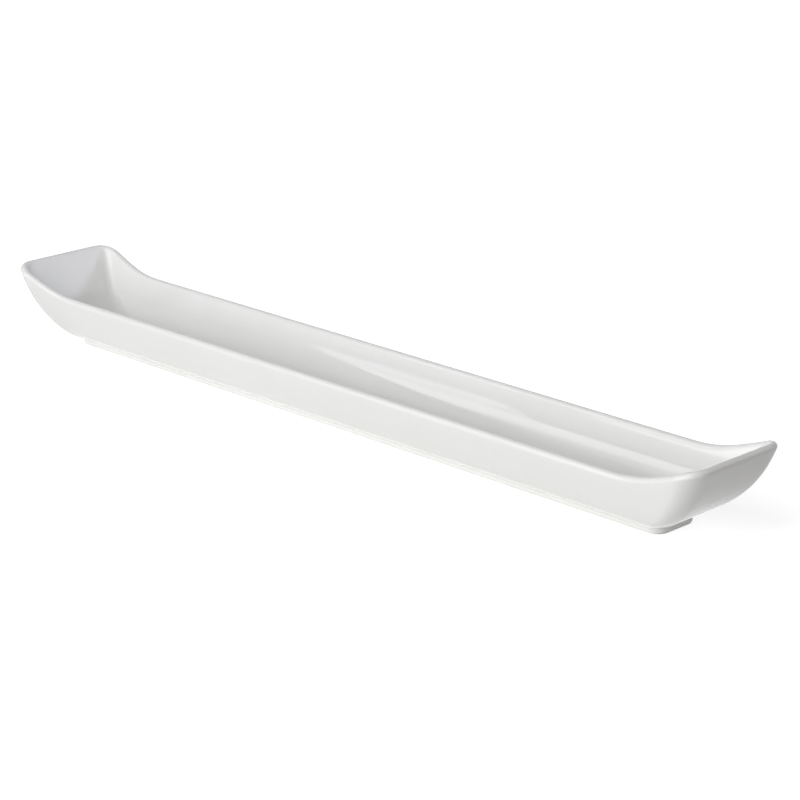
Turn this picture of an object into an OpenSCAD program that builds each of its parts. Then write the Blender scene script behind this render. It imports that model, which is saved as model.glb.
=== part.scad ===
/* [Rim] */
// Length of the dish over its two raised ends
dish_length = 450; // [400:1:520]
// Width that the long walls flare to at the ends' full height
end_width = 63.6; // [58:0.1:76]
// Height of the rim along the middle of the long walls
rim_height = 29; // [26:0.1:34]
// Height of the rim across each raised end
end_height = 39.8; // [36:0.1:48]
// Length, in from each end, over which the rim climbs
climb_length = 45.1; // [30:0.1:80]
// Bend of the climb's start, where 1 sets off in a straight ramp
climb_bend = 2.83; // [1.2:0.01:3.5]
// Bend of the climb's top, where 1 arrives in a straight ramp
climb_shoulder = 1.54; // [1:0.01:2.2]
// Radius in plan of the rim's outer corners
rim_corner = 11.4; // [7:0.1:14]
// Thickness of the wall under its round lip
lip_thickness = 4.05; // [3:0.05:4.6]

/* [Wall shape] */
// Fullness of the long walls' curve, where 2 is an ellipse
side_fullness = 2.6; // [1.8:0.05:3.2]
// Share of the long walls' reach that is a straight flare
side_flare_share = 0.4; // [0.1:0.01:0.5]
// Fullness of the end walls' curve below the lip
end_fullness = 2.53; // [1.8:0.01:3.2]
// Roundness of the end walls' turn out of the underside
end_roundness = 1.29; // [1.2:0.01:2]
// Roundness of the end walls' turn out of the floor
inner_end_roundness = 1.6; // [1.4:0.05:2.2]
// Share of the end walls' reach that is a straight flare
end_flare_share = 0.38; // [0.1:0.01:0.5]

/* [Floor] */
// Thickness of the floor over the underside
floor_thickness = 4.4; // [3.6:0.1:6]
// Distance from the flat floor's ends back to the underside's ends
floor_end_setback = 4.2; // [3:0.1:6]
// Distance from the flat floor's sides back to the underside's sides
floor_side_setback = 2.7; // [2:0.1:5]
// Radius in plan of the flat floor's corners
floor_corner = 6.5; // [3:0.5:8]

/* [Foot ring] */
// Overhang of each raised end beyond the foot ring
end_overhang = 31.5; // [24:0.1:40]
// Overhang of each long wall beyond the foot ring
side_overhang = 18.4; // [15:0.1:20]
// Height of the underside above the table
foot_height = 4.3; // [2.4:0.1:5]
// Thickness of the foot ring's wall
foot_wall = 3.6; // [2.6:0.1:5]
// Radius in plan of the foot ring's outer corners
foot_corner = 6.2; // [4:0.1:8]
// Flat ledge of the underside left around the foot ring
foot_ledge = 0.7; // [0.4:0.1:1.5]

/* [Bare rim] */
// Height of the unglazed edge that the dish stands on
bare_height = 0.6; // [0.4:0.1:1]
// Set-back of the unglazed edge from both faces of the foot ring
bare_setback = 0.4; // [0.2:0.1:0.8]

/* [Hidden] */
$fn = 48;

glaze_white = [0.93, 0.925, 0.91];
biscuit_white = [0.84, 0.8, 0.73];

half_length = dish_length / 2;
half_width = end_width / 2;
climb_start = half_length - climb_length;
lip_radius = lip_thickness / 2;

foot_length = dish_length - 2 * end_overhang;
foot_width = end_width - 2 * side_overhang;
base_half_length = foot_length / 2 + foot_ledge;
base_half_width = foot_width / 2 + foot_ledge;
base_corner = foot_corner + foot_ledge;

floor_z = foot_height + floor_thickness;
floor_half_length = base_half_length - floor_end_setback;
floor_half_width = base_half_width - floor_side_setback;

// Counts of flat faces along each stretch of the trough
end_steps = 3;
corner_steps = 8;
climb_steps = 9;
middle_steps = 2;
wall_rows = 14;
lip_rows = 10;
// Crowding of the wall's rows towards its turn at the bottom
row_crowding = 1.7;
// Room left over cuts, so that they pass right through
overrun = 1;

function mix(low, high, share) = low + (high - low) * share;

// A wall's reach from 0 at its foot to 1 at full height: a full curve
// that starts level, blended with a straight flare
function reach_share(t, fullness, roundness, flare_share) =
    mix(pow(1 - pow(1 - t, fullness), 1 / roundness), t, flare_share);
function end_share(t, roundness) = reach_share(t, end_fullness, roundness, end_flare_share);
function side_share(t) = reach_share(t, side_fullness, side_fullness, side_flare_share);

// A station is a place on any rounded oblong: shares of the straight
// half sides along X and Y, then the outward direction in plan
function plan(station, half_x, half_y, corner) = [
    (half_x - corner) * station[0] + corner * station[2],
    (half_y - corner) * station[1] + corner * station[3]];
function outward(station) = [station[2], station[3]];
function mirrored(station, x_side, y_side) = [
    station[0] * x_side, station[1] * y_side,
    station[2] * x_side, station[3] * y_side];

climb_start_share = climb_start / (half_length - rim_corner);
quarter = concat(
    [for (i = [0:end_steps - 1]) [1, i / end_steps, 1, 0]],
    [for (i = [0:corner_steps - 1])
        let (turn = 90 * i / corner_steps) [1, 1, cos(turn), sin(turn)]],
    [for (i = [0:climb_steps - 1]) [mix(1, climb_start_share, i / climb_steps), 1, 0, 1]],
    [for (i = [0:middle_steps]) [climb_start_share * (1 - i / middle_steps), 1, 0, 1]]);
last = len(quarter) - 1;
stations = concat(
    [for (i = [0:last - 1]) mirrored(quarter[i], 1, 1)],
    [for (i = [0:last - 1]) mirrored(quarter[last - i], -1, 1)],
    [for (i = [0:last - 1]) mirrored(quarter[i], -1, -1)],
    [for (i = [0:last - 1]) mirrored(quarter[last - i], 1, -1)]);

// Outer face of the wall at a height above the table
function outer_share(z) = (z - foot_height) / (end_height - lip_radius - foot_height);
function outer_half_length(z) =
    mix(base_half_length, half_length, end_share(outer_share(z), end_roundness));
function outer_half_width(z) = mix(base_half_width, half_width, side_share(outer_share(z)));
function outer_corner(z) = mix(base_corner, rim_corner, outer_share(z));
function outer_plan(station, z) =
    plan(station, outer_half_length(z), outer_half_width(z), outer_corner(z));

// Height of the rim, level along the middle and climbing to each end
function rim_top(station) =
    let (
        x = abs(plan(station, half_length, half_width, rim_corner)[0]),
        climb = min(1, max(0, (x - climb_start) / climb_length)))
    mix(rim_height, end_height, pow(1 - pow(1 - climb, climb_shoulder), climb_bend));

// Angle at which the outer face leans out just under the lip
function lean(station, z) =
    atan((outer_plan(station, z) - outer_plan(station, z - lip_thickness))
        * outward(station) / lip_thickness);

// Inner face of the wall, from the flat floor up to the lip's inner edge
function inner_plan(station, z, top_z, outer_z, inset) =
    let (
        full = end_height - floor_z,
        t = (z - floor_z) / full,
        top = (top_z - floor_z) / full,
        along = end_share(t, inner_end_roundness) / end_share(top, inner_end_roundness),
        across = side_share(t) / side_share(top))
    plan(station,
        mix(floor_half_length, outer_half_length(outer_z) - inset, along),
        mix(floor_half_width, outer_half_width(outer_z) - inset, across),
        mix(floor_corner, outer_corner(outer_z) - inset, t / top));

function at_height(point, z) = [point[0], point[1], z];

// One section of the trough: up the outer face, over the round lip and
// down the inner face to the floor
function section(station) =
    let (
        top = rim_top(station),
        tilt = lean(station, top - lip_thickness),
        lip_z = top - lip_radius,
        outer_z = lip_z - lip_radius * sin(tilt),
        inner_z = lip_z + lip_radius * sin(tilt),
        inset = lip_thickness * cos(tilt),
        lip_plan = outer_plan(station, outer_z) - outward(station) * inset / 2)
    concat(
        [for (i = [0:wall_rows - 1])
            let (z = mix(foot_height, outer_z, pow(i / wall_rows, row_crowding)))
            at_height(outer_plan(station, z), z)],
        [for (i = [0:lip_rows])
            let (turn = 180 * i / lip_rows - tilt)
            at_height(lip_plan + outward(station) * lip_radius * cos(turn),
                lip_z + lip_radius * sin(turn))],
        [for (i = [wall_rows - 1:-1:0])
            let (z = mix(floor_z, inner_z, pow(i / wall_rows, row_crowding)))
            at_height(inner_plan(station, z, inner_z, outer_z, inset), z)]);

// The whole skin, closed by a fan of faces under the foot and another on the floor
module trough() {
    sections = [for (station = stations) section(station)];
    around = len(sections);
    rows = len(sections[0]);
    corners = [for (points = sections) each points];
    underside_middle = around * rows;
    floor_middle = underside_middle + 1;
    faces = [for (i = [0:around - 1])
        let (this = i * rows, next = ((i + 1) % around) * rows)
        each concat(
            [[this, next, underside_middle]],
            [for (k = [0:rows - 2]) each [
                [this + k, this + k + 1, next + k + 1],
                [this + k, next + k + 1, next + k]]],
            [[this + rows - 1, floor_middle, next + rows - 1]])];
    color(glaze_white)
        polyhedron(
            points = concat(corners, [[0, 0, foot_height], [0, 0, floor_z]]),
            faces = faces);
}

// Upright plate with rounded corners in plan, standing on z = 0
module rounded_plate(length, width, corner, height) {
    translate([-length / 2, corner - width / 2, 0])
        cube([length, width - 2 * corner, height]);
    translate([corner - length / 2, -width / 2, 0])
        cube([length - 2 * corner, width, height]);
    for (x_side = [-1, 1], y_side = [-1, 1])
        translate([x_side * (length / 2 - corner), y_side * (width / 2 - corner), 0])
            cylinder(h = height, r = corner);
}

// Wall that follows the foot ring's plan, set back from both its faces
module foot_band(setback, height) {
    inner = foot_wall - setback;
    difference() {
        rounded_plate(foot_length - 2 * setback, foot_width - 2 * setback,
            foot_corner - setback, height);
        translate([0, 0, -overrun])
            rounded_plate(foot_length - 2 * inner, foot_width - 2 * inner,
                foot_corner - inner, height + 2 * overrun);
    }
}

module foot_ring() {
    color(glaze_white)
        translate([0, 0, bare_height])
            foot_band(0, foot_height - bare_height);
}

module bare_rim() {
    color(biscuit_white)
        foot_band(bare_setback, bare_height);
}

trough();
foot_ring();
bare_rim();
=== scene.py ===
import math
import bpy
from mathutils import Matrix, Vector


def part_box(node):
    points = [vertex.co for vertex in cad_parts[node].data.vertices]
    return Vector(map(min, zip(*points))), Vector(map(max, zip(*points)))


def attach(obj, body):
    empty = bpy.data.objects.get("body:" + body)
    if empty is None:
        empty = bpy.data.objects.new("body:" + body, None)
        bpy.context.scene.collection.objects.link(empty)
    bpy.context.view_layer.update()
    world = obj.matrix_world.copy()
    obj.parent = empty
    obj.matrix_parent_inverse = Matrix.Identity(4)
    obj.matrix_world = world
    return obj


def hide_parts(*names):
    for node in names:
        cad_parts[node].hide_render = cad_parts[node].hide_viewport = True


bl_info = {
    "name": "Raised End Trough Dish",
    "version": (1, 0, 0),
    "blender": (4, 5, 0),
    "location": "3D View > Sidebar > Dish",
    "description": "Builds a long glazed trough dish on its foot ring, with its studio",
    "category": "Object",
}

from types import SimpleNamespace

import bpy
from mathutils import Vector

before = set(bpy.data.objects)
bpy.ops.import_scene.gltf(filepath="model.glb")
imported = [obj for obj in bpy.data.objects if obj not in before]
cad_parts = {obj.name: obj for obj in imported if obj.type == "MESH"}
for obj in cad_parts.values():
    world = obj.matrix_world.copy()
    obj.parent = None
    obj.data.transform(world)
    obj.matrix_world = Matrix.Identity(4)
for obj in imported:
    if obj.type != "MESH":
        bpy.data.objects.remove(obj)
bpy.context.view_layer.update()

BODY = "root"


# Sizes and colours that a user would change


class DishSizes(bpy.types.PropertyGroup):
    """Real sizes of the dish."""

    length: bpy.props.FloatProperty(
        name="Length", description="Length that the ends reach at full height",
        default=0.45, unit="LENGTH")
    width: bpy.props.FloatProperty(
        name="Width", description="Width that the long walls reach at full height",
        default=0.0636, unit="LENGTH")
    rim_height: bpy.props.FloatProperty(
        name="Rim Height", description="Height of the rim along the middle",
        default=0.029, unit="LENGTH")
    end_height: bpy.props.FloatProperty(
        name="End Height", description="Height of the rim across each raised end",
        default=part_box("trough")[1].z, unit="LENGTH")
    climb_length: bpy.props.FloatProperty(
        name="Climb Length", description="Length over which the rim climbs to each end",
        default=0.0451, unit="LENGTH")
    climb_bend: bpy.props.FloatProperty(
        name="Climb Bend", description="Bend of the climb's start, 1 for a straight ramp",
        default=2.83)
    climb_shoulder: bpy.props.FloatProperty(
        name="Climb Shoulder", description="Bend of the climb's top, 1 for a straight ramp",
        default=1.54)
    rim_corner: bpy.props.FloatProperty(
        name="Rim Corner", description="Radius in plan of the rim's outer corners",
        default=0.0114, unit="LENGTH")
    lip_thickness: bpy.props.FloatProperty(
        name="Lip Thickness", description="Thickness of the wall under its round lip",
        default=0.00405, unit="LENGTH")
    side_fullness: bpy.props.FloatProperty(
        name="Side Fullness", description="Fullness of the long walls, 2 for an ellipse",
        default=2.6)
    side_flare: bpy.props.FloatProperty(
        name="Side Flare", description="Share of the long walls' reach that is straight",
        default=0.4, subtype="FACTOR")
    end_fullness: bpy.props.FloatProperty(
        name="End Fullness", description="Fullness of the end walls below the lip",
        default=2.53)
    end_roundness: bpy.props.FloatProperty(
        name="End Roundness", description="Turn of the end walls out of the underside",
        default=1.29)
    inner_end_roundness: bpy.props.FloatProperty(
        name="Inner End Roundness", description="Turn of the end walls out of the floor",
        default=1.6)
    end_flare: bpy.props.FloatProperty(
        name="End Flare", description="Share of the end walls' reach that is straight",
        default=0.38, subtype="FACTOR")
    floor_thickness: bpy.props.FloatProperty(
        name="Floor Thickness", description="Thickness of the floor over the underside",
        default=0.0044, unit="LENGTH")
    floor_end_setback: bpy.props.FloatProperty(
        name="Floor End Setback", description="From the underside's ends to the floor's",
        default=0.0042, unit="LENGTH")
    floor_side_setback: bpy.props.FloatProperty(
        name="Floor Side Setback", description="From the underside's sides to the floor's",
        default=0.0027, unit="LENGTH")
    floor_corner: bpy.props.FloatProperty(
        name="Floor Corner", description="Radius in plan of the flat floor's corners",
        default=0.0065, unit="LENGTH")
    crease_tightness: bpy.props.FloatProperty(
        name="Crease Tightness",
        description="Share taken off the inner corners' radius midway up",
        default=0.4, subtype="FACTOR")
    end_overhang: bpy.props.FloatProperty(
        name="End Overhang", description="Overhang of each end beyond the foot ring",
        default=0.0315, unit="LENGTH")
    side_overhang: bpy.props.FloatProperty(
        name="Side Overhang", description="Overhang of each wall beyond the foot ring",
        default=0.0184, unit="LENGTH")
    foot_height: bpy.props.FloatProperty(
        name="Foot Height", description="Height of the underside above the table",
        default=0.0043, unit="LENGTH")
    foot_wall: bpy.props.FloatProperty(
        name="Foot Wall", description="Thickness of the foot ring's wall",
        default=0.0036, unit="LENGTH")
    foot_corner: bpy.props.FloatProperty(
        name="Foot Corner", description="Radius in plan of the foot ring's corners",
        default=0.0062, unit="LENGTH")
    foot_ledge: bpy.props.FloatProperty(
        name="Foot Ledge", description="Flat ledge left around the foot ring",
        default=0.0007, unit="LENGTH")
    foot_fillet: bpy.props.FloatProperty(
        name="Foot Fillet", description="Radius of the glaze where the foot meets the base",
        default=0.00065, unit="LENGTH")
    foot_edge: bpy.props.FloatProperty(
        name="Foot Edge", description="Radius that the foot is turned in to its bare edge",
        default=0.0005, unit="LENGTH")
    bare_height: bpy.props.FloatProperty(
        name="Bare Height", description="Height of the unglazed standing edge",
        default=0.0006, unit="LENGTH")
    bare_setback: bpy.props.FloatProperty(
        name="Bare Setback", description="Set-back of the unglazed edge from the foot ring",
        default=0.0004, unit="LENGTH")
    skin_margin: bpy.props.FloatProperty(
        name="Skin Margin", description="How far the fine surface stays inside its solid",
        default=0.00005, unit="LENGTH")


class MeshCounts(bpy.types.PropertyGroup):
    """How finely each stretch of the dish is divided."""

    end_steps: bpy.props.IntProperty(
        name="End Steps", description="Faces along half of an end", default=10)
    corner_steps: bpy.props.IntProperty(
        name="Corner Steps", description="Faces round a corner", default=20)
    side_steps: bpy.props.IntProperty(
        name="Side Steps", description="Faces along half of a long wall", default=44)
    side_crowding: bpy.props.FloatProperty(
        name="Side Crowding", description="Crowding of the faces towards the ends",
        default=1.6)
    wall_rows: bpy.props.IntProperty(
        name="Wall Rows", description="Faces up a wall", default=40)
    wall_crowding: bpy.props.FloatProperty(
        name="Wall Crowding", description="Crowding of the faces towards the floor",
        default=1.6)
    lip_rows: bpy.props.IntProperty(
        name="Lip Rows", description="Faces over the round lip", default=16)
    flat_rows: bpy.props.IntProperty(
        name="Flat Rows", description="Faces from the middle to a flat's edge", default=8)
    foot_steps: bpy.props.IntProperty(
        name="Foot Steps", description="Faces round a corner of the foot ring", default=20)


class FinishColours(bpy.types.PropertyGroup):
    """Colours of the fired porcelain and of the studio."""

    glaze: bpy.props.FloatVectorProperty(
        name="Glaze", description="Clear glaze over white porcelain",
        default=(0.872, 0.877, 0.878), size=3, subtype="COLOR")
    # Painted light: lighter than the trough's glaze, so that the foot ring looks lit from
    # below
    foot_glaze: bpy.props.FloatVectorProperty(
        name="Foot Glaze Painted Light", description="Thick clear glaze on the foot ring",
        default=(0.95, 0.95, 0.94), size=3, subtype="COLOR")
    # Darker than the glaze: glaze pooled thick, and painted shade in the hollow at the
    # inner wall's foot and in the fillet where the foot ring meets the base
    pooled_and_shade: bpy.props.FloatVectorProperty(
        name="Pooled And Shade Glaze", description="Where the glaze lies thick in a hollow",
        default=(0.83, 0.84, 0.84), size=3, subtype="COLOR")
    # Darker than the glaze: glaze drawn thin over the lip, and painted shade that dulls the
    # lip's highlight
    thin_and_shade: bpy.props.FloatVectorProperty(
        name="Thin And Shade Glaze", description="Where the glaze drew back from an edge",
        default=(0.82, 0.815, 0.8), size=3, subtype="COLOR")
    biscuit: bpy.props.FloatVectorProperty(
        name="Biscuit", description="Bare fired porcelain",
        default=(0.9, 0.89, 0.86), size=3, subtype="COLOR")
    grit: bpy.props.FloatVectorProperty(
        name="Grit", description="Grains that the kiln shelf left in the bare edge",
        default=(0.8, 0.77, 0.72), size=3, subtype="COLOR")
    studio_floor: bpy.props.FloatVectorProperty(
        name="Studio Floor", description="Plain white floor and backdrop",
        default=(0.7, 0.7, 0.685), size=3, subtype="COLOR")


# Arithmetic in node trees


class Term:
    """A number that a node tree works out, so that a rule reads as arithmetic."""

    def __init__(self, tree, socket):
        self.tree = tree
        self.socket = socket

    def __add__(self, other):
        return calculate(self.tree, "ADD", self, other)

    def __radd__(self, other):
        return calculate(self.tree, "ADD", other, self)

    def __sub__(self, other):
        return calculate(self.tree, "SUBTRACT", self, other)

    def __rsub__(self, other):
        return calculate(self.tree, "SUBTRACT", other, self)

    def __mul__(self, other):
        return calculate(self.tree, "MULTIPLY", self, other)

    def __rmul__(self, other):
        return calculate(self.tree, "MULTIPLY", other, self)

    def __truediv__(self, other):
        return calculate(self.tree, "DIVIDE", self, other)

    def __rtruediv__(self, other):
        return calculate(self.tree, "DIVIDE", other, self)

    def __pow__(self, other):
        return calculate(self.tree, "POWER", self, other)

    def apply(self, operation, *others):
        return calculate(self.tree, operation, self, *others)

    def clamped(self):
        held = self.apply("ADD", 0.0)
        held.socket.node.use_clamp = True
        return held


def feed(tree, socket, value):
    """Links a term or another socket, or sets a plain value."""
    if isinstance(value, Term):
        tree.links.new(value.socket, socket)
    elif isinstance(value, bpy.types.NodeSocket):
        tree.links.new(value, socket)
    else:
        socket.default_value = value


def calculate(tree, operation, *values):
    node = tree.nodes.new("ShaderNodeMath")
    node.operation = operation
    for socket, value in zip(node.inputs, values):
        feed(tree, socket, value)
    return Term(tree, node.outputs[0])


def add_node(tree, kind, settings=None, **inputs):
    """A new node, with its settings and the inputs that are named as its sockets are."""
    node = tree.nodes.new(kind)
    for key, value in (settings or {}).items():
        setattr(node, key, value)
    for key, value in inputs.items():
        feed(tree, node.inputs[key.replace("_", " ")], value)
    return node


def mix(low, high, share):
    return low + (high - low) * share


# Geometry node trees


class TreeInputs:
    """A tree's named inputs, each made when the tree's rule first asks for it."""

    def __init__(self, tree, groups):
        self.tree = tree
        self.groups = groups
        self.entry = tree.nodes.new("NodeGroupInput")
        for label, kind in (("Geometry", "NodeSocketGeometry"),
                            ("Material", "NodeSocketMaterial")):
            tree.interface.new_socket(label, in_out="INPUT", socket_type=kind)

    def __getattr__(self, key):
        for group in self.groups:
            if key in type(group).__annotations__:
                prop = group.bl_rna.properties[key]
                kind = "NodeSocketInt" if prop.type == "INT" else "NodeSocketFloat"
                socket = self.tree.interface.new_socket(
                    prop.name, in_out="INPUT", socket_type=kind)
                socket.description = prop.description
                term = Term(self.tree, self.entry.outputs[prop.name])
                setattr(self, key, term)
                return term
        raise AttributeError(key)


def finish_tree(tree, entry, surface):
    """Ends a tree in Realize Instances and Set Material."""
    tree.interface.new_socket("Geometry", in_out="OUTPUT", socket_type="NodeSocketGeometry")
    smooth = add_node(tree, "GeometryNodeSetShadeSmooth", Geometry=surface)
    real = add_node(tree, "GeometryNodeRealizeInstances", Geometry=smooth.outputs[0])
    coated = add_node(tree, "GeometryNodeSetMaterial", Geometry=real.outputs[0],
                      Material=entry.outputs["Material"])
    add_node(tree, "NodeGroupOutput", Geometry=coated.outputs[0])


def run_tree(name, tree, groups, start, material):
    """Evaluates a tree on a start mesh and returns the result as a plain mesh object."""
    maker = bpy.data.objects.new(name + "_maker", start)
    bpy.context.scene.collection.objects.link(maker)
    modifier = maker.modifiers.new("Rule", "NODES")
    modifier.node_group = tree
    values = {"Material": material}
    for group in groups:
        for key in type(group).__annotations__:
            values[group.bl_rna.properties[key].name] = getattr(group, key)
    for item in tree.interface.items_tree:
        if item.in_out == "INPUT" and item.name in values:
            modifier[item.identifier] = values[item.name]
    bpy.context.view_layer.update()
    evaluated = maker.evaluated_get(bpy.context.evaluated_depsgraph_get())
    surface = bpy.data.meshes.new_from_object(evaluated)
    maker.modifiers.remove(modifier)
    bpy.data.objects.remove(maker)
    if not surface.polygons:
        raise RuntimeError(f"{name} came out of its node tree with no faces")
    surface.name = name
    surface.materials.clear()
    surface.materials.append(material)
    piece = bpy.data.objects.new(name, surface)
    bpy.context.scene.collection.objects.link(piece)
    return piece


def seat_piece(piece, node):
    """Puts a finished piece in the place of its solid."""
    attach(piece, BODY)
    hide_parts(node)


def reach(t, fullness, roundness, flare):
    """A wall's reach from 0 at its foot to 1 at full height."""
    return mix((1.0 - (1.0 - t) ** fullness) ** (1.0 / roundness), t, flare)


def oblong_point(station, half_x, half_y, corner):
    """A place on a rounded oblong, in its first quarter."""
    return ((half_x - corner) * station.along + corner * station.out_x,
            (half_y - corner) * station.across + corner * station.out_y)


# Power that shapes how the inner corners tighten up the wall, where less is broader
CREASE_POWER = 0.4
# How fast the pooled glaze and its painted shade fade up the wall, and the power that keeps
# them to the wall's foot
POOL_AND_SHADE_FALL, POOL_AND_SHADE_POWER = 0.6, 5.0
# Points that lie nearer than this, in metres, are the two sides of a seam
SEAM_GAP = 2e-6


def trough_tree(groups):
    """The shell: a grid of stations round the dish by rows up and over its wall."""
    tree = bpy.data.node_groups.new("Trough Shell", "GeometryNodeTree")
    d = TreeInputs(tree, groups)
    quarter = d.end_steps + d.corner_steps + d.side_steps
    to_lip = d.flat_rows + d.wall_rows
    past_lip = to_lip + d.lip_rows
    rows = to_lip + past_lip
    # The grid is one metre square about the origin, so its places plus a half are shares
    grid = add_node(tree, "GeometryNodeMeshGrid", Size_X=1.0, Size_Y=1.0,
                    Vertices_X=quarter * 4.0 + 1.0, Vertices_Y=rows + 1.0)
    place = add_node(tree, "ShaderNodeSeparateXYZ",
                     Vector=add_node(tree, "GeometryNodeInputPosition").outputs[0])
    round_dish = Term(tree, place.outputs["X"]) + 0.5
    over_wall = Term(tree, place.outputs["Y"]) + 0.5

    # The station: along half of an end, round a corner, then along half of a long wall
    turn = round_dish * math.tau
    step = (round_dish * quarter * 4.0).apply("ROUND").apply("PINGPONG", quarter)
    bend = ((step - d.end_steps) / d.corner_steps).clamped() * (math.pi / 2)
    side = ((step - d.end_steps - d.corner_steps) / d.side_steps).clamped()
    station = SimpleNamespace(
        along=1.0 - side ** d.side_crowding,
        across=(step / d.end_steps).clamped(),
        out_x=bend.apply("COSINE"),
        out_y=bend.apply("SINE"))

    # The row: out across the underside, up the wall, over the lip, then down the wall and
    # in across the floor. Rows are whole, so a half in a test falls between two of them.
    row = (over_wall * rows).apply("ROUND")
    under = (row / d.flat_rows).clamped()
    outside = ((row - d.flat_rows) / d.wall_rows).clamped()
    lip = ((row - to_lip) / d.lip_rows).clamped()
    inside = 1.0 - ((row - past_lip) / d.wall_rows).clamped()
    floor = 1.0 - ((row - past_lip - d.wall_rows) / d.flat_rows).clamped()
    on_lip = (row - to_lip).apply("GREATER_THAN", 0.5)
    on_inside = (row - past_lip).apply("GREATER_THAN", -0.5)

    half_length = d.length / 2.0 - d.skin_margin
    half_width = d.width / 2.0 - d.skin_margin
    end_top = d.end_height - d.skin_margin
    lip_radius = d.lip_thickness / 2.0
    base_half_length = d.length / 2.0 - d.end_overhang + d.foot_ledge
    base_half_width = d.width / 2.0 - d.side_overhang + d.foot_ledge
    base_corner = d.foot_corner + d.foot_ledge
    floor_z = d.foot_height + d.floor_thickness

    def outer(z):
        share = (z - d.foot_height) / (end_top - lip_radius - d.foot_height)
        return (
            mix(base_half_length, half_length,
                reach(share, d.end_fullness, d.end_roundness, d.end_flare)),
            mix(base_half_width, half_width,
                reach(share, d.side_fullness, d.side_fullness, d.side_flare)),
            mix(base_corner, d.rim_corner, share))

    def support(z):
        x, y = oblong_point(station, *outer(z))
        return x * station.out_x + y * station.out_y

    # The rim: level along the middle, climbing to each end
    rim_x, _ = oblong_point(station, half_length, half_width, d.rim_corner)
    climb = ((rim_x - half_length + d.climb_length) / d.climb_length).clamped()
    top = mix(d.rim_height, end_top,
              (1.0 - (1.0 - climb) ** d.climb_shoulder) ** d.climb_bend)
    below = top - d.lip_thickness
    tilt = ((support(below) - support(below - d.lip_thickness))
            / d.lip_thickness).apply("ARCTANGENT")
    rise = lip_radius * tilt.apply("SINE")
    inset = d.lip_thickness * tilt.apply("COSINE")
    lip_z = top - lip_radius
    outer_top = outer(lip_z - rise)

    # The outer face
    outer_z = mix(d.foot_height, lip_z - rise, outside ** d.wall_crowding)
    outer_x, outer_y = oblong_point(station, *outer(outer_z))

    # The round lip
    roll = lip * math.pi - tilt
    ledge = lip_radius * roll.apply("COSINE") - inset / 2.0
    crest_x, crest_y = oblong_point(station, *outer_top)
    crest_x = crest_x + station.out_x * ledge
    crest_y = crest_y + station.out_y * ledge
    crest_z = lip_z + lip_radius * roll.apply("SINE")

    # The inner face, whose corners are tightest midway up
    inner_z = mix(floor_z, lip_z + rise, inside ** d.wall_crowding)
    full = end_top - floor_z
    share = (inner_z - floor_z) / full
    share_top = (lip_z + rise - floor_z) / full
    up_wall = share / share_top
    midway = (up_wall * (1.0 - up_wall) * 4.0) ** CREASE_POWER

    def inner_end(t):
        return reach(t, d.end_fullness, d.inner_end_roundness, d.end_flare)

    def inner_side(t):
        return reach(t, d.side_fullness, d.side_fullness, d.side_flare)

    inner_x, inner_y = oblong_point(
        station,
        mix(base_half_length - d.floor_end_setback, outer_top[0] - inset,
            inner_end(share) / inner_end(share_top)),
        mix(base_half_width - d.floor_side_setback, outer_top[1] - inset,
            inner_side(share) / inner_side(share_top)),
        mix(d.floor_corner, outer_top[2] - inset, up_wall)
        * (1.0 - d.crease_tightness * midway))

    def choose(outer_value, lip_value, inner_value):
        return mix(mix(outer_value, lip_value, on_lip), inner_value, on_inside)

    spread = under * floor
    spot = add_node(
        tree, "ShaderNodeCombineXYZ",
        X=choose(outer_x, crest_x, inner_x) * spread * turn.apply("COSINE").apply("SIGN"),
        Y=choose(outer_y, crest_y, inner_y) * spread * turn.apply("SINE").apply("SIGN"),
        Z=choose(outer_z, crest_z, inner_z))
    surface = add_node(tree, "GeometryNodeSetPosition", Geometry=grid.outputs["Mesh"],
                       Position=spot.outputs[0]).outputs[0]

    # Where the glaze drew thin over the lip, and where it pooled in the hollow. Both masks
    # also carry painted shade: on the lip to dull its highlight, and in the hollow at the
    # wall's foot.
    off_floor = (inner_z - floor_z) / d.floor_thickness
    cove_pool_and_shade = (off_floor * off_floor * -POOL_AND_SHADE_FALL).apply("EXPONENT")
    masks = {
        "thin_glaze_and_shade": (lip * math.pi).apply("SINE") ** 2.0,
        "pooled_glaze_and_shade": on_inside * cove_pool_and_shade * floor ** POOL_AND_SHADE_POWER,
    }
    for name, value in masks.items():
        surface = add_node(tree, "GeometryNodeStoreNamedAttribute",
                           {"data_type": "FLOAT", "domain": "POINT"},
                           Geometry=surface, Name=name, Value=value).outputs[0]
    closed = add_node(tree, "GeometryNodeMergeByDistance",
                      Geometry=surface, Distance=SEAM_GAP)
    finish_tree(tree, d.entry, closed.outputs[0])
    return tree


def ring_tree(groups):
    """Carries an outline, drawn from the foot's outer edge, round a rounded oblong."""
    tree = bpy.data.node_groups.new("Foot Sweep", "GeometryNodeTree")
    d = TreeInputs(tree, groups)
    path = add_node(tree, "GeometryNodeCurvePrimitiveQuadrilateral",
                    Width=d.length - d.end_overhang * 2.0,
                    Height=d.width - d.side_overhang * 2.0)
    rounded = add_node(tree, "GeometryNodeFilletCurve", {"mode": "POLY"},
                       Curve=path.outputs[0], Radius=d.foot_corner, Count=d.foot_steps)
    upright = add_node(tree, "GeometryNodeSetCurveNormal", {"mode": "Z_UP"},
                       Curve=rounded.outputs[0])
    outline = add_node(tree, "GeometryNodeMeshToCurve", Mesh=d.entry.outputs["Geometry"])
    swept = add_node(tree, "GeometryNodeCurveToMesh", Curve=upright.outputs[0],
                     Profile_Curve=outline.outputs[0])
    finish_tree(tree, d.entry, swept.outputs[0])
    return tree


def arc(centre, radius, start, end, steps=6):
    """Points of an arc, from a start to an end angle in degrees."""
    angles = [math.radians(start + (end - start) * i / steps) for i in range(steps + 1)]
    return [(centre[0] + radius * math.cos(a), centre[1] + radius * math.sin(a))
            for a in angles]


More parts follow.
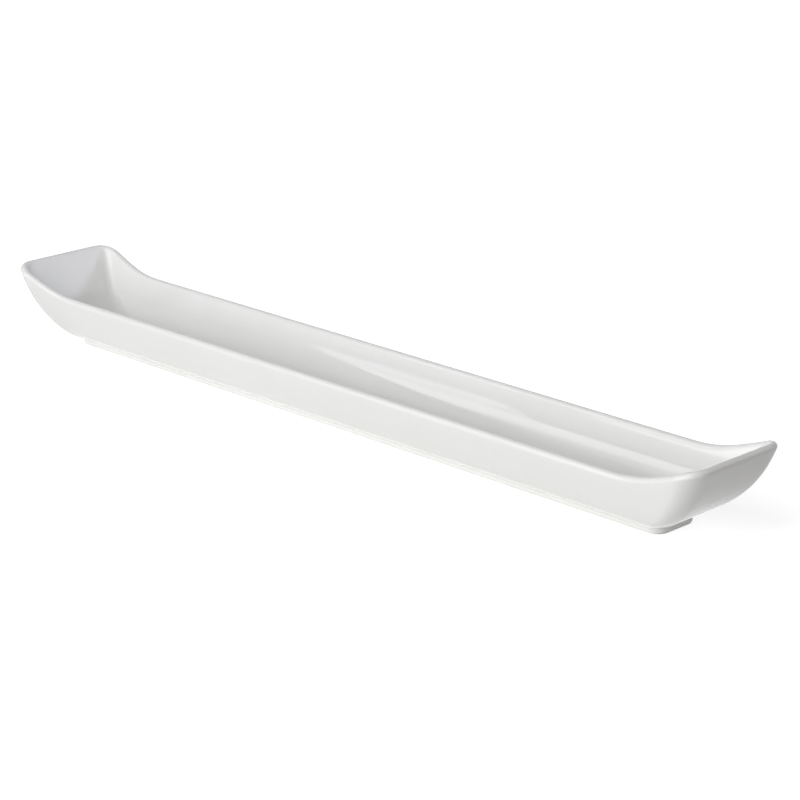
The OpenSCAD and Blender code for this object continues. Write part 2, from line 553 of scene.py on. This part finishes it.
def outline_mesh(name, points):
    """A closed outline, from points that say how far out and how far up."""
    mesh = bpy.data.meshes.new(name)
    count = len(points)
    # The sweep stands the outline on its head, so that up is written as down
    mesh.from_pydata([(out, -up, 0.0) for out, up in points],
                     [(i, (i + 1) % count) for i in range(count)], [])
    return mesh


# Shader node groups


NUMBER = "NodeSocketFloat"
COLOUR = "NodeSocketColor"
# The Mix node's sockets for colours, whose names its sockets for numbers have too
MIX_LOW, MIX_HIGH, MIX_RESULT = 6, 7, 2


def shader_group(name, inputs, outputs):
    """A shader node group with named sockets, and its two end nodes."""
    group = bpy.data.node_groups.new(name, "ShaderNodeTree")
    for label, (kind, value) in inputs.items():
        socket = group.interface.new_socket(label, in_out="INPUT", socket_type=kind)
        socket.default_value = value
    for label, kind in outputs.items():
        group.interface.new_socket(label, in_out="OUTPUT", socket_type=kind)
    return group, group.nodes.new("NodeGroupInput"), group.nodes.new("NodeGroupOutput")


def blend_colours(tree, low, high, share):
    node = add_node(tree, "ShaderNodeMix", {"data_type": "RGBA"})
    feed(tree, node.inputs["Factor"], share)
    feed(tree, node.inputs[MIX_LOW], low)
    feed(tree, node.inputs[MIX_HIGH], high)
    return node.outputs[MIX_RESULT]


def noise(tree, place, wavelength, detail):
    """Smooth noise around zero, whose waves are about as long as the wavelength."""
    node = add_node(tree, "ShaderNodeTexNoise", {"noise_dimensions": "3D"},
                    Vector=place, Scale=1.0 / wavelength, Detail=detail, Roughness=0.5)
    return Term(tree, node.outputs["Fac"]) - 0.5


# Lengths in metres of the glaze's slow ripple, of the fine peel on it, and of the drift in
# its thickness from place to place
RIPPLE_WAVE, PEEL_WAVE, DRIFT_WAVE = 0.017, 0.0032, 0.045
# Height of the peel as a share of the ripple's
PEEL_SHARE = 0.06
# What is left of a share of pooled or thin glaze, which also carries painted shade, where
# the drift is nil, and how far the drift changes that share, the brightness and the
# roughness
POOLED_AND_SHADE_LEVEL, POOLED_AND_SHADE_DRIFT = 0.9, 1.2
THIN_AND_SHADE_LEVEL, THIN_AND_SHADE_DRIFT = 0.8, 1.6
SHADE_DRIFT, GLOSS_DRIFT = 0.016, 0.8
# Roughness that thin glaze adds
THIN_ROUGHNESS = 0.03
# Cells to the metre that may hold a pinhole, the part of them that holds none, and a
# pinhole's radius as a share of its cell
PINHOLE_CELLS, PINHOLE_RARITY, PINHOLE_RADIUS = 160.0, 0.93, 0.035
# What a pinhole takes off the brightness, adds to the roughness, and its depth in ripples
PINHOLE_SHADE, PINHOLE_ROUGHNESS, PINHOLE_DEPTH = 0.12, 0.2, 1.5


def glaze_group():
    """Clear glaze over white porcelain: ripple, thin edges, pooled hollows, pinholes; the
    thin and pooled colours also paint shade.
    """
    group, entry, result = shader_group(
        "Glaze Coat",
        {"Glaze": (COLOUR, (0.87, 0.87, 0.87, 1.0)),
         "Pooled And Shade": (COLOUR, (0.83, 0.84, 0.84, 1.0)),
         "Thin And Shade": (COLOUR, (0.82, 0.815, 0.8, 1.0)),
         "Pooled And Shade Share": (NUMBER, 0.0),
         "Thin And Shade Share": (NUMBER, 0.0),
         "Gloss Roughness": (NUMBER, 0.025),
         "Ripple Height": (NUMBER, 0.00001)},
        {"Colour": COLOUR, "Roughness": NUMBER, "Height": NUMBER})
    place = add_node(group, "ShaderNodeTexCoord").outputs["Object"]
    ripple = noise(group, place, RIPPLE_WAVE, detail=1.0)
    peel = noise(group, place, PEEL_WAVE, detail=1.0)
    drift = noise(group, place, DRIFT_WAVE, detail=3.0)
    cells = add_node(group, "ShaderNodeTexVoronoi", {"feature": "F1"},
                     Vector=place, Scale=PINHOLE_CELLS)
    chance = add_node(group, "ShaderNodeSeparateColor", Color=cells.outputs["Color"])
    rare = Term(group, chance.outputs["Red"]).apply("GREATER_THAN", PINHOLE_RARITY)
    from_middle = Term(group, cells.outputs["Distance"]) / PINHOLE_RADIUS
    pinhole = rare * (1.0 - from_middle).clamped()

    def given(label):
        return Term(group, entry.outputs[label])

    # Painted shade comes in with the pooled and thin colours, besides thick and thin glaze
    pooled_and_shade = (given("Pooled And Shade Share") * (drift * POOLED_AND_SHADE_DRIFT + POOLED_AND_SHADE_LEVEL)).clamped()
    thin_and_shade = (given("Thin And Shade Share") * (drift * THIN_AND_SHADE_DRIFT + THIN_AND_SHADE_LEVEL)).clamped()
    colour = blend_colours(group, entry.outputs["Glaze"], entry.outputs["Pooled And Shade"], pooled_and_shade)
    colour = blend_colours(group, colour, entry.outputs["Thin And Shade"], thin_and_shade)
    fired = add_node(group, "ShaderNodeHueSaturation", Color=colour,
                     Value=1.0 + drift * SHADE_DRIFT - pinhole * PINHOLE_SHADE)
    feed(group, result.inputs["Colour"], fired.outputs[0])
    feed(group, result.inputs["Roughness"],
         given("Gloss Roughness") * (1.0 + drift * GLOSS_DRIFT)
         + thin_and_shade * THIN_ROUGHNESS + pinhole * PINHOLE_ROUGHNESS)
    feed(group, result.inputs["Height"],
         given("Ripple Height") * (ripple + peel * PEEL_SHARE - pinhole * PINHOLE_DEPTH))
    return group


# Level of the grain from which grit shows, and how sharply it sets in
GRIT_START, GRIT_SHARPNESS = 0.58, 9.0
# Length in metres of the patches that the grit lies in, what shows of it where they are
# nil, and how far they change it
PATCH_WAVE, PATCH_LEVEL, PATCH_DRIFT = 0.006, 0.7, 2.0
# How far the patches change the brightness and the roughness
PATCH_SHADE, PATCH_ROUGHNESS = 0.12, 0.1
# Roughness of the bare porcelain, what grit takes off it, and grit's height in grains
BISCUIT_ROUGHNESS, GRIT_SMOOTHNESS, GRIT_HEIGHT = 0.88, 0.12, 0.8
# Least grain size in metres, so that a size of nil still gives a pattern
SMALLEST_GRAIN = 1e-6


def biscuit_group():
    """Bare fired porcelain: fine grain, with grit that the kiln shelf left."""
    group, entry, result = shader_group(
        "Biscuit Grain",
        {"Biscuit": (COLOUR, (0.9, 0.89, 0.86, 1.0)),
         "Grit": (COLOUR, (0.8, 0.77, 0.72, 1.0)),
         "Grain Size": (NUMBER, 0.0004),
         "Grain Height": (NUMBER, 0.00002)},
        {"Colour": COLOUR, "Roughness": NUMBER, "Height": NUMBER})
    place = add_node(group, "ShaderNodeTexCoord").outputs["Object"]
    grain_size = Term(group, entry.outputs["Grain Size"]).apply("MAXIMUM", SMALLEST_GRAIN)
    grain = add_node(group, "ShaderNodeTexNoise", Vector=place, Scale=1.0 / grain_size,
                     Detail=4.0, Roughness=0.6)
    fine = Term(group, grain.outputs["Fac"])
    patch = noise(group, place, PATCH_WAVE, detail=3.0)
    grit = (((fine - GRIT_START) * GRIT_SHARPNESS).clamped()
            * (PATCH_LEVEL + patch * PATCH_DRIFT).clamped())
    colour = blend_colours(group, entry.outputs["Biscuit"], entry.outputs["Grit"], grit)
    fired = add_node(group, "ShaderNodeHueSaturation", Color=colour,
                     Value=1.0 + patch * PATCH_SHADE)
    feed(group, result.inputs["Colour"], fired.outputs[0])
    feed(group, result.inputs["Roughness"],
         BISCUIT_ROUGHNESS - grit * GRIT_SMOOTHNESS + patch * PATCH_ROUGHNESS)
    feed(group, result.inputs["Height"],
         Term(group, entry.outputs["Grain Height"]) * (fine + grit * GRIT_HEIGHT))
    return group


def shared(name, make):
    """The node group of that name, made when it is first asked for."""
    return bpy.data.node_groups.get(name) or make()


def new_material(name):
    material = bpy.data.materials.new(name)
    material.use_nodes = True
    tree = material.node_tree
    tree.nodes.clear()
    return material, tree


def paint(colour):
    return (*colour, 1.0)


def close_material(tree, bsdf, finish):
    """Joins a finish group to its shader, with the height in metres through a bump."""
    feed(tree, bsdf.inputs["Base Color"], finish.outputs["Colour"])
    feed(tree, bsdf.inputs["Roughness"], finish.outputs["Roughness"])
    bump = add_node(tree, "ShaderNodeBump", Strength=1.0, Distance=1.0,
                    Height=finish.outputs["Height"])
    feed(tree, bsdf.inputs["Normal"], bump.outputs[0])
    add_node(tree, "ShaderNodeOutputMaterial", Surface=bsdf.outputs[0])


def mask(tree, name):
    return add_node(tree, "ShaderNodeAttribute", {"attribute_name": name}).outputs["Fac"]


def height_share(tree, full_at, none_at):
    """1 at one height of a piece, which fades to 0 at the other height and past it."""
    place = add_node(tree, "ShaderNodeTexCoord").outputs["Object"]
    up = Term(tree, add_node(tree, "ShaderNodeSeparateXYZ", Vector=place).outputs["Z"])
    return (1.0 - (up - full_at) / (none_at - full_at)).clamped()


def glazed_material(name, colours, base, gloss, ripple, pooled_and_shade_share, thin_and_shade_share):
    """Glazed porcelain, whose shares say where the glaze lies thick and where thin, and so
    where shade is painted.
    """
    material, tree = new_material(name)
    coat = add_node(tree, "ShaderNodeGroup",
                    {"node_tree": shared("Glaze Coat", glaze_group)})
    for label, value in (
            ("Glaze", paint(base)), ("Pooled And Shade", paint(colours.pooled_and_shade)),
            ("Thin And Shade", paint(colours.thin_and_shade)), ("Gloss Roughness", gloss),
            ("Ripple Height", ripple), ("Pooled And Shade Share", pooled_and_shade_share(tree)),
            ("Thin And Shade Share", thin_and_shade_share(tree))):
        feed(tree, coat.inputs[label], value)
    bsdf = add_node(tree, "ShaderNodeBsdfPrincipled", IOR=1.52)
    close_material(tree, bsdf, coat)
    return material


def biscuit_material(colours):
    """Bare porcelain, in its two colours."""
    material, tree = new_material("Biscuit")
    grain = add_node(tree, "ShaderNodeGroup",
                     {"node_tree": shared("Biscuit Grain", biscuit_group)},
                     Biscuit=paint(colours.biscuit), Grit=paint(colours.grit),
                     Grain_Size=0.0004, Grain_Height=0.00002)
    bsdf = add_node(tree, "ShaderNodeBsdfPrincipled", IOR=1.45, Specular_IOR_Level=0.3)
    close_material(tree, bsdf, grain)
    return material


# The pieces


# How far the glaze drew back at the foot ring's lower edges
FOOT_THINNING = 0.4


class DISH_OT_trough(bpy.types.Operator):
    """Makes the glazed trough with its raised ends and round lip"""
    bl_idname = "dish.trough"
    bl_label = "Make Trough"

    def execute(self, context):
        scene = context.scene
        colours = scene.dish_colours
        groups = (scene.dish_sizes, scene.dish_counts)
        # The pooled and thin masks darken the hollow and the lip: glaze that pooled or drew
        # thin, and painted shade
        glaze = glazed_material(
            "Trough Glaze", colours, colours.glaze, gloss=0.025, ripple=0.00001,
            pooled_and_shade_share=lambda tree: mask(tree, "pooled_glaze_and_shade"),
            thin_and_shade_share=lambda tree: mask(tree, "thin_glaze_and_shade"))
        piece = run_tree("trough_shell", trough_tree(groups), groups,
                         bpy.data.meshes.new("trough_start"), glaze)
        seat_piece(piece, "trough")
        return {"FINISHED"}


class DISH_OT_foot_ring(bpy.types.Operator):
    """Makes the glazed foot ring, turned in to its bare edge and faired into the base"""
    bl_idname = "dish.foot_ring"
    bl_label = "Make Foot Ring"

    def execute(self, context):
        scene = context.scene
        sizes, colours = scene.dish_sizes, scene.dish_colours
        groups = (sizes, scene.dish_counts)
        low, high = sizes.bare_height, sizes.foot_height
        wall, fillet, edge = sizes.foot_wall, sizes.foot_fillet, sizes.foot_edge
        # The ring runs on a little way into the floor, so that no gap shows between them
        into_base = high + sizes.floor_thickness / 10
        points = arc((fillet, high - fillet), fillet, 90, 180)
        points += arc((-edge, low + edge), edge, 0, -90)
        points += arc((edge - wall, low + edge), edge, -90, -180)
        points += arc((-wall - fillet, high - fillet), fillet, 0, 90)
        points += [(-wall - fillet, into_base), (fillet, into_base)]
        # The foot glaze colour is painted light: lighter than the trough's glaze
        glaze = glazed_material(
            "Foot Glaze Painted Light", colours, colours.foot_glaze, gloss=0.06, ripple=0.000008,
            # At the fillet where the ring meets the base, the pooled colour is pooled glaze
            # and painted shade
            pooled_and_shade_share=lambda tree: height_share(tree, high, high - 2 * fillet),
            thin_and_shade_share=lambda tree: (
                height_share(tree, low, low + 2 * edge) * FOOT_THINNING))
        piece = run_tree("foot_ring_skin", ring_tree(groups), groups,
                         outline_mesh("foot_outline", points), glaze)
        seat_piece(piece, "foot_ring")
        return {"FINISHED"}


class DISH_OT_bare_rim(bpy.types.Operator):
    """Makes the unglazed standing edge under the foot ring"""
    bl_idname = "dish.bare_rim"
    bl_label = "Make Bare Rim"

    def execute(self, context):
        scene = context.scene
        sizes = scene.dish_sizes
        groups = (sizes, scene.dish_counts)
        setback, wall, high = sizes.bare_setback, sizes.foot_wall, sizes.bare_height
        edge = high / 2
        # It runs on into the foot ring in the same way
        into_foot = high + sizes.foot_edge / 2
        points = [(-setback, into_foot)]
        points += arc((-setback - edge, edge), edge, 0, -90)
        points += arc((setback + edge - wall, edge), edge, -90, -180)
        points += [(setback - wall, into_foot)]
        piece = run_tree("bare_rim_skin", ring_tree(groups), groups,
                         outline_mesh("bare_outline", points),
                         biscuit_material(scene.dish_colours))
        seat_piece(piece, "bare_rim")
        return {"FINISHED"}


# The studio


SHOWN_RAYS = ("Is Camera Ray", "Is Glossy Ray", "Is Transmission Ray")
WHITE, COOL, WARM = (1.0, 1.0, 1.0), (0.84, 0.86, 1.0), (1.0, 0.97, 0.92)
# Half the side of the floor, and how far it lies below the dish
FLOOR_HALF, FLOOR_DROP = 8.0, 0.00005
# Where it is seen, the floor is a grey that takes the shadow, under a glow that brings it
# to white. The lamps do part of that near the dish, so the glow grows with the distance.
SEEN_FLOOR = (0.7, 0.7, 0.7)
NEAR_GLOW, FAR_GLOW = 0.76, 1.0
NEAR_RADIUS, FAR_RADIUS = 0.3, 1.0
# Strength of the surround where it lights the dish
SURROUND_STRENGTH = 0.03
# The camera: millimetres of lens and sensor, degrees round and up, metres to its target
LENS, SENSOR = 113.676, 36.0
CAMERA_AZIMUTH, CAMERA_ELEVATION = 45.034, 18.505
CAMERA_TARGET, CAMERA_DISTANCE = (0.028088, 0.0, 0.01791), 1.16517


def shown_share(tree):
    """1 for a ray that shows the background, and 0 for one that only gathers light."""
    rays = add_node(tree, "ShaderNodeLightPath")
    share = Term(tree, rays.outputs[SHOWN_RAYS[0]])
    for label in SHOWN_RAYS[1:]:
        share = share.apply("MAXIMUM", Term(tree, rays.outputs[label]))
    return share.clamped()


def floor_material(colours):
    """A white floor that still takes the shadow, and can be seen through from below."""
    material, tree = new_material("Studio Floor")
    share = shown_share(tree)
    plain = add_node(tree, "ShaderNodeBsdfDiffuse", Color=paint(colours.studio_floor))
    soft = add_node(tree, "ShaderNodeBsdfDiffuse", Color=paint(SEEN_FLOOR))
    place = add_node(tree, "ShaderNodeTexCoord").outputs["Object"]
    span = add_node(tree, "ShaderNodeVectorMath", {"operation": "LENGTH"})
    feed(tree, span.inputs[0], place)
    past_near = Term(tree, span.outputs["Value"]) - NEAR_RADIUS
    far = (past_near / (FAR_RADIUS - NEAR_RADIUS)).clamped()
    glow = add_node(tree, "ShaderNodeEmission", Color=paint(WHITE),
                    Strength=mix(NEAR_GLOW, FAR_GLOW, far))
    lit = add_node(tree, "ShaderNodeAddShader")
    feed(tree, lit.inputs[0], soft.outputs[0])
    feed(tree, lit.inputs[1], glow.outputs[0])
    top = add_node(tree, "ShaderNodeMixShader", Fac=share)
    feed(tree, top.inputs[1], plain.outputs[0])
    feed(tree, top.inputs[2], lit.outputs[0])
    clear = add_node(tree, "ShaderNodeBsdfTransparent")
    # Clear from below, and clear to the light of the card under the dish
    behind = Term(tree, add_node(tree, "ShaderNodeNewGeometry").outputs["Backfacing"])
    to_lamp = Term(tree, add_node(tree, "ShaderNodeLightPath").outputs["Is Shadow Ray"])
    under = add_node(tree, "ShaderNodeMixShader", Fac=behind.apply("MAXIMUM", to_lamp))
    feed(tree, under.inputs[1], top.outputs[0])
    feed(tree, under.inputs[2], clear.outputs[0])
    add_node(tree, "ShaderNodeOutputMaterial", Surface=under.outputs[0])
    return material


def light_world():
    """A white surround: full white where it is seen, and far weaker where it lights."""
    world = bpy.data.worlds.new("Studio Surround")
    world.use_nodes = True
    tree = world.node_tree
    tree.nodes.clear()
    level = mix(SURROUND_STRENGTH, 1.0, shown_share(tree))
    surround = add_node(tree, "ShaderNodeBackground", Color=paint(WHITE), Strength=level)
    add_node(tree, "ShaderNodeOutputWorld", Surface=surround.outputs[0])
    bpy.context.scene.world = world


def direction(azimuth, elevation):
    """Unit vector from the dish towards a place in the studio."""
    a, e = math.radians(azimuth), math.radians(elevation)
    return Vector((math.sin(a) * math.cos(e), -math.cos(a) * math.cos(e), math.sin(e)))


# Degrees that a lamp's light spreads over where nothing narrows it
WIDE = 180.0


def add_softbox(name, centre, facing, width, height, radiance, tint,
                spread=WIDE, mirrored=True):
    """An area lamp that faces one way, as bright as its radiance along its middle.

    A lamp that isn't mirrored lights the dish and doesn't show in its gloss.
    """
    lamp = bpy.data.lights.new(name, "AREA")
    lamp.shape = "RECTANGLE"
    lamp.size, lamp.size_y = width, height
    lamp.energy = radiance * math.pi * width * height
    lamp.color = tint
    if spread < WIDE:
        # A narrowed lamp puts all its energy into its cone, so it is given less
        half = math.radians(spread) / 2
        lamp.spread = 2 * half
        lamp.energy *= 1 - half / math.tan(half)
    softbox = bpy.data.objects.new(name, lamp)
    softbox.location = centre
    softbox.rotation_euler = (-Vector(facing)).to_track_quat("Z", "Y").to_euler()
    softbox.visible_camera = False
    softbox.visible_glossy = mirrored
    bpy.context.scene.collection.objects.link(softbox)


FORWARD, BACKWARD, LEFTWARD = (0.0, 1.0, 0.0), (0.0, -1.0, 0.0), (-1.0, 0.0, 0.0)
UP, DOWN = (0.0, 0.0, 1.0), (0.0, 0.0, -1.0)
SOFTBOXES = (
    # name, centre, facing, width, height, radiance, tint, spread, mirrored
    ("Front Softbox Low", (-0.04, -1.2, 0.125), FORWARD, 1.6, 0.25, 2.9, WHITE),
    ("Front Softbox", (0.0, -1.2, 0.425), FORWARD, 1.12, 0.35, 2.85, WHITE),
    ("Front Softbox Top", (-0.375, -1.2, 0.78), FORWARD, 1.87, 0.36, 2.95, WHITE),
    ("Front Softbox Corner", (-1.16, -1.2, 0.508), FORWARD, 0.32, 0.184, 1.85, WHITE),
    ("Right Softbox", (0.83, -1.2, 0.605), FORWARD, 0.54, 0.71, 1.6, WHITE),
    ("Front Sheet", (-0.105, -1.2, 1.48), FORWARD, 2.41, 1.04, 1.05, WHITE),
    ("Front Sheet Middle", (0.0, -1.2, 1.28), FORWARD, 1.12, 0.64, 1.6, WHITE),
    ("Back Sheet", (1.3, 1.2, 1.3), BACKWARD, 1.8, 1.4, 0.75, WHITE),
    ("Back Lamp", (0.23, 0.46, 0.17), (-0.67, -0.69, -0.24), 0.1, 0.1, 37.0, COOL,
     90.0, False),
    ("Right Card", (1.3, -0.2, 0.1), LEFTWARD, 0.5, 0.2, 2.3, WARM),
    ("Overhead Sheet", (0.0, -0.8, 2.0), DOWN, 1.0, 0.8, 2.3, WHITE),
    ("Under Card", (0.0, 0.0, -0.012), UP, 0.402, 0.024, 1.8, WHITE, WIDE, False),
)


class DISH_OT_studio(bpy.types.Operator):
    """Makes the white floor, the soft lights and the camera"""
    bl_idname = "dish.studio"
    bl_label = "Make Studio"

    def execute(self, context):
        scene = context.scene
        mesh = bpy.data.meshes.new("studio_floor")
        mesh.from_pydata([(x * FLOOR_HALF, y * FLOOR_HALF, -FLOOR_DROP)
                          for x, y in ((-1, -1), (1, -1), (1, 1), (-1, 1))],
                         [], [(0, 1, 2, 3)])
        mesh.materials.append(floor_material(scene.dish_colours))
        floor = bpy.data.objects.new("studio_floor", mesh)
        scene.collection.objects.link(floor)
        light_world()
        for softbox in SOFTBOXES:
            add_softbox(*softbox)

        optics = bpy.data.cameras.new("Photo Camera")
        optics.lens, optics.sensor_width = LENS, SENSOR
        camera = bpy.data.objects.new("Photo Camera", optics)
        back = direction(CAMERA_AZIMUTH, CAMERA_ELEVATION)
        camera.location = Vector(CAMERA_TARGET) + back * CAMERA_DISTANCE
        camera.rotation_euler = back.to_track_quat("Z", "Y").to_euler()
        scene.collection.objects.link(camera)
        scene.camera = camera
        scene.view_settings.view_transform = "Standard"
        return {"FINISHED"}


class DISH_PT_dish(bpy.types.Panel):
    """Sizes, colours and the steps that make the dish"""
    bl_label = "Trough Dish"
    bl_idname = "DISH_PT_dish"
    bl_space_type = "VIEW_3D"
    bl_region_type = "UI"
    bl_category = "Dish"

    def draw(self, context):
        scene = context.scene
        for title, group in (("Sizes", scene.dish_sizes), ("Mesh", scene.dish_counts),
                             ("Colours", scene.dish_colours)):
            box = self.layout.box()
            box.label(text=title)
            for key in type(group).__annotations__:
                box.prop(group, key)
        for operator in OPERATORS:
            self.layout.operator(operator.bl_idname)


SETTINGS = {
    "dish_sizes": DishSizes,
    "dish_counts": MeshCounts,
    "dish_colours": FinishColours,
}
OPERATORS = (DISH_OT_trough, DISH_OT_foot_ring, DISH_OT_bare_rim, DISH_OT_studio)
CLASSES = (*SETTINGS.values(), *OPERATORS, DISH_PT_dish)


def register():
    for cls in CLASSES:
        bpy.utils.register_class(cls)
    for name, cls in SETTINGS.items():
        setattr(bpy.types.Scene, name, bpy.props.PointerProperty(type=cls))


def unregister():
    for name in SETTINGS:
        delattr(bpy.types.Scene, name)
    for cls in reversed(CLASSES):
        bpy.utils.unregister_class(cls)


def main():
    register()
    bpy.ops.dish.trough()
    bpy.ops.dish.foot_ring()
    bpy.ops.dish.bare_rim()
    bpy.ops.dish.studio()


if __name__ == "__main__":
    main()
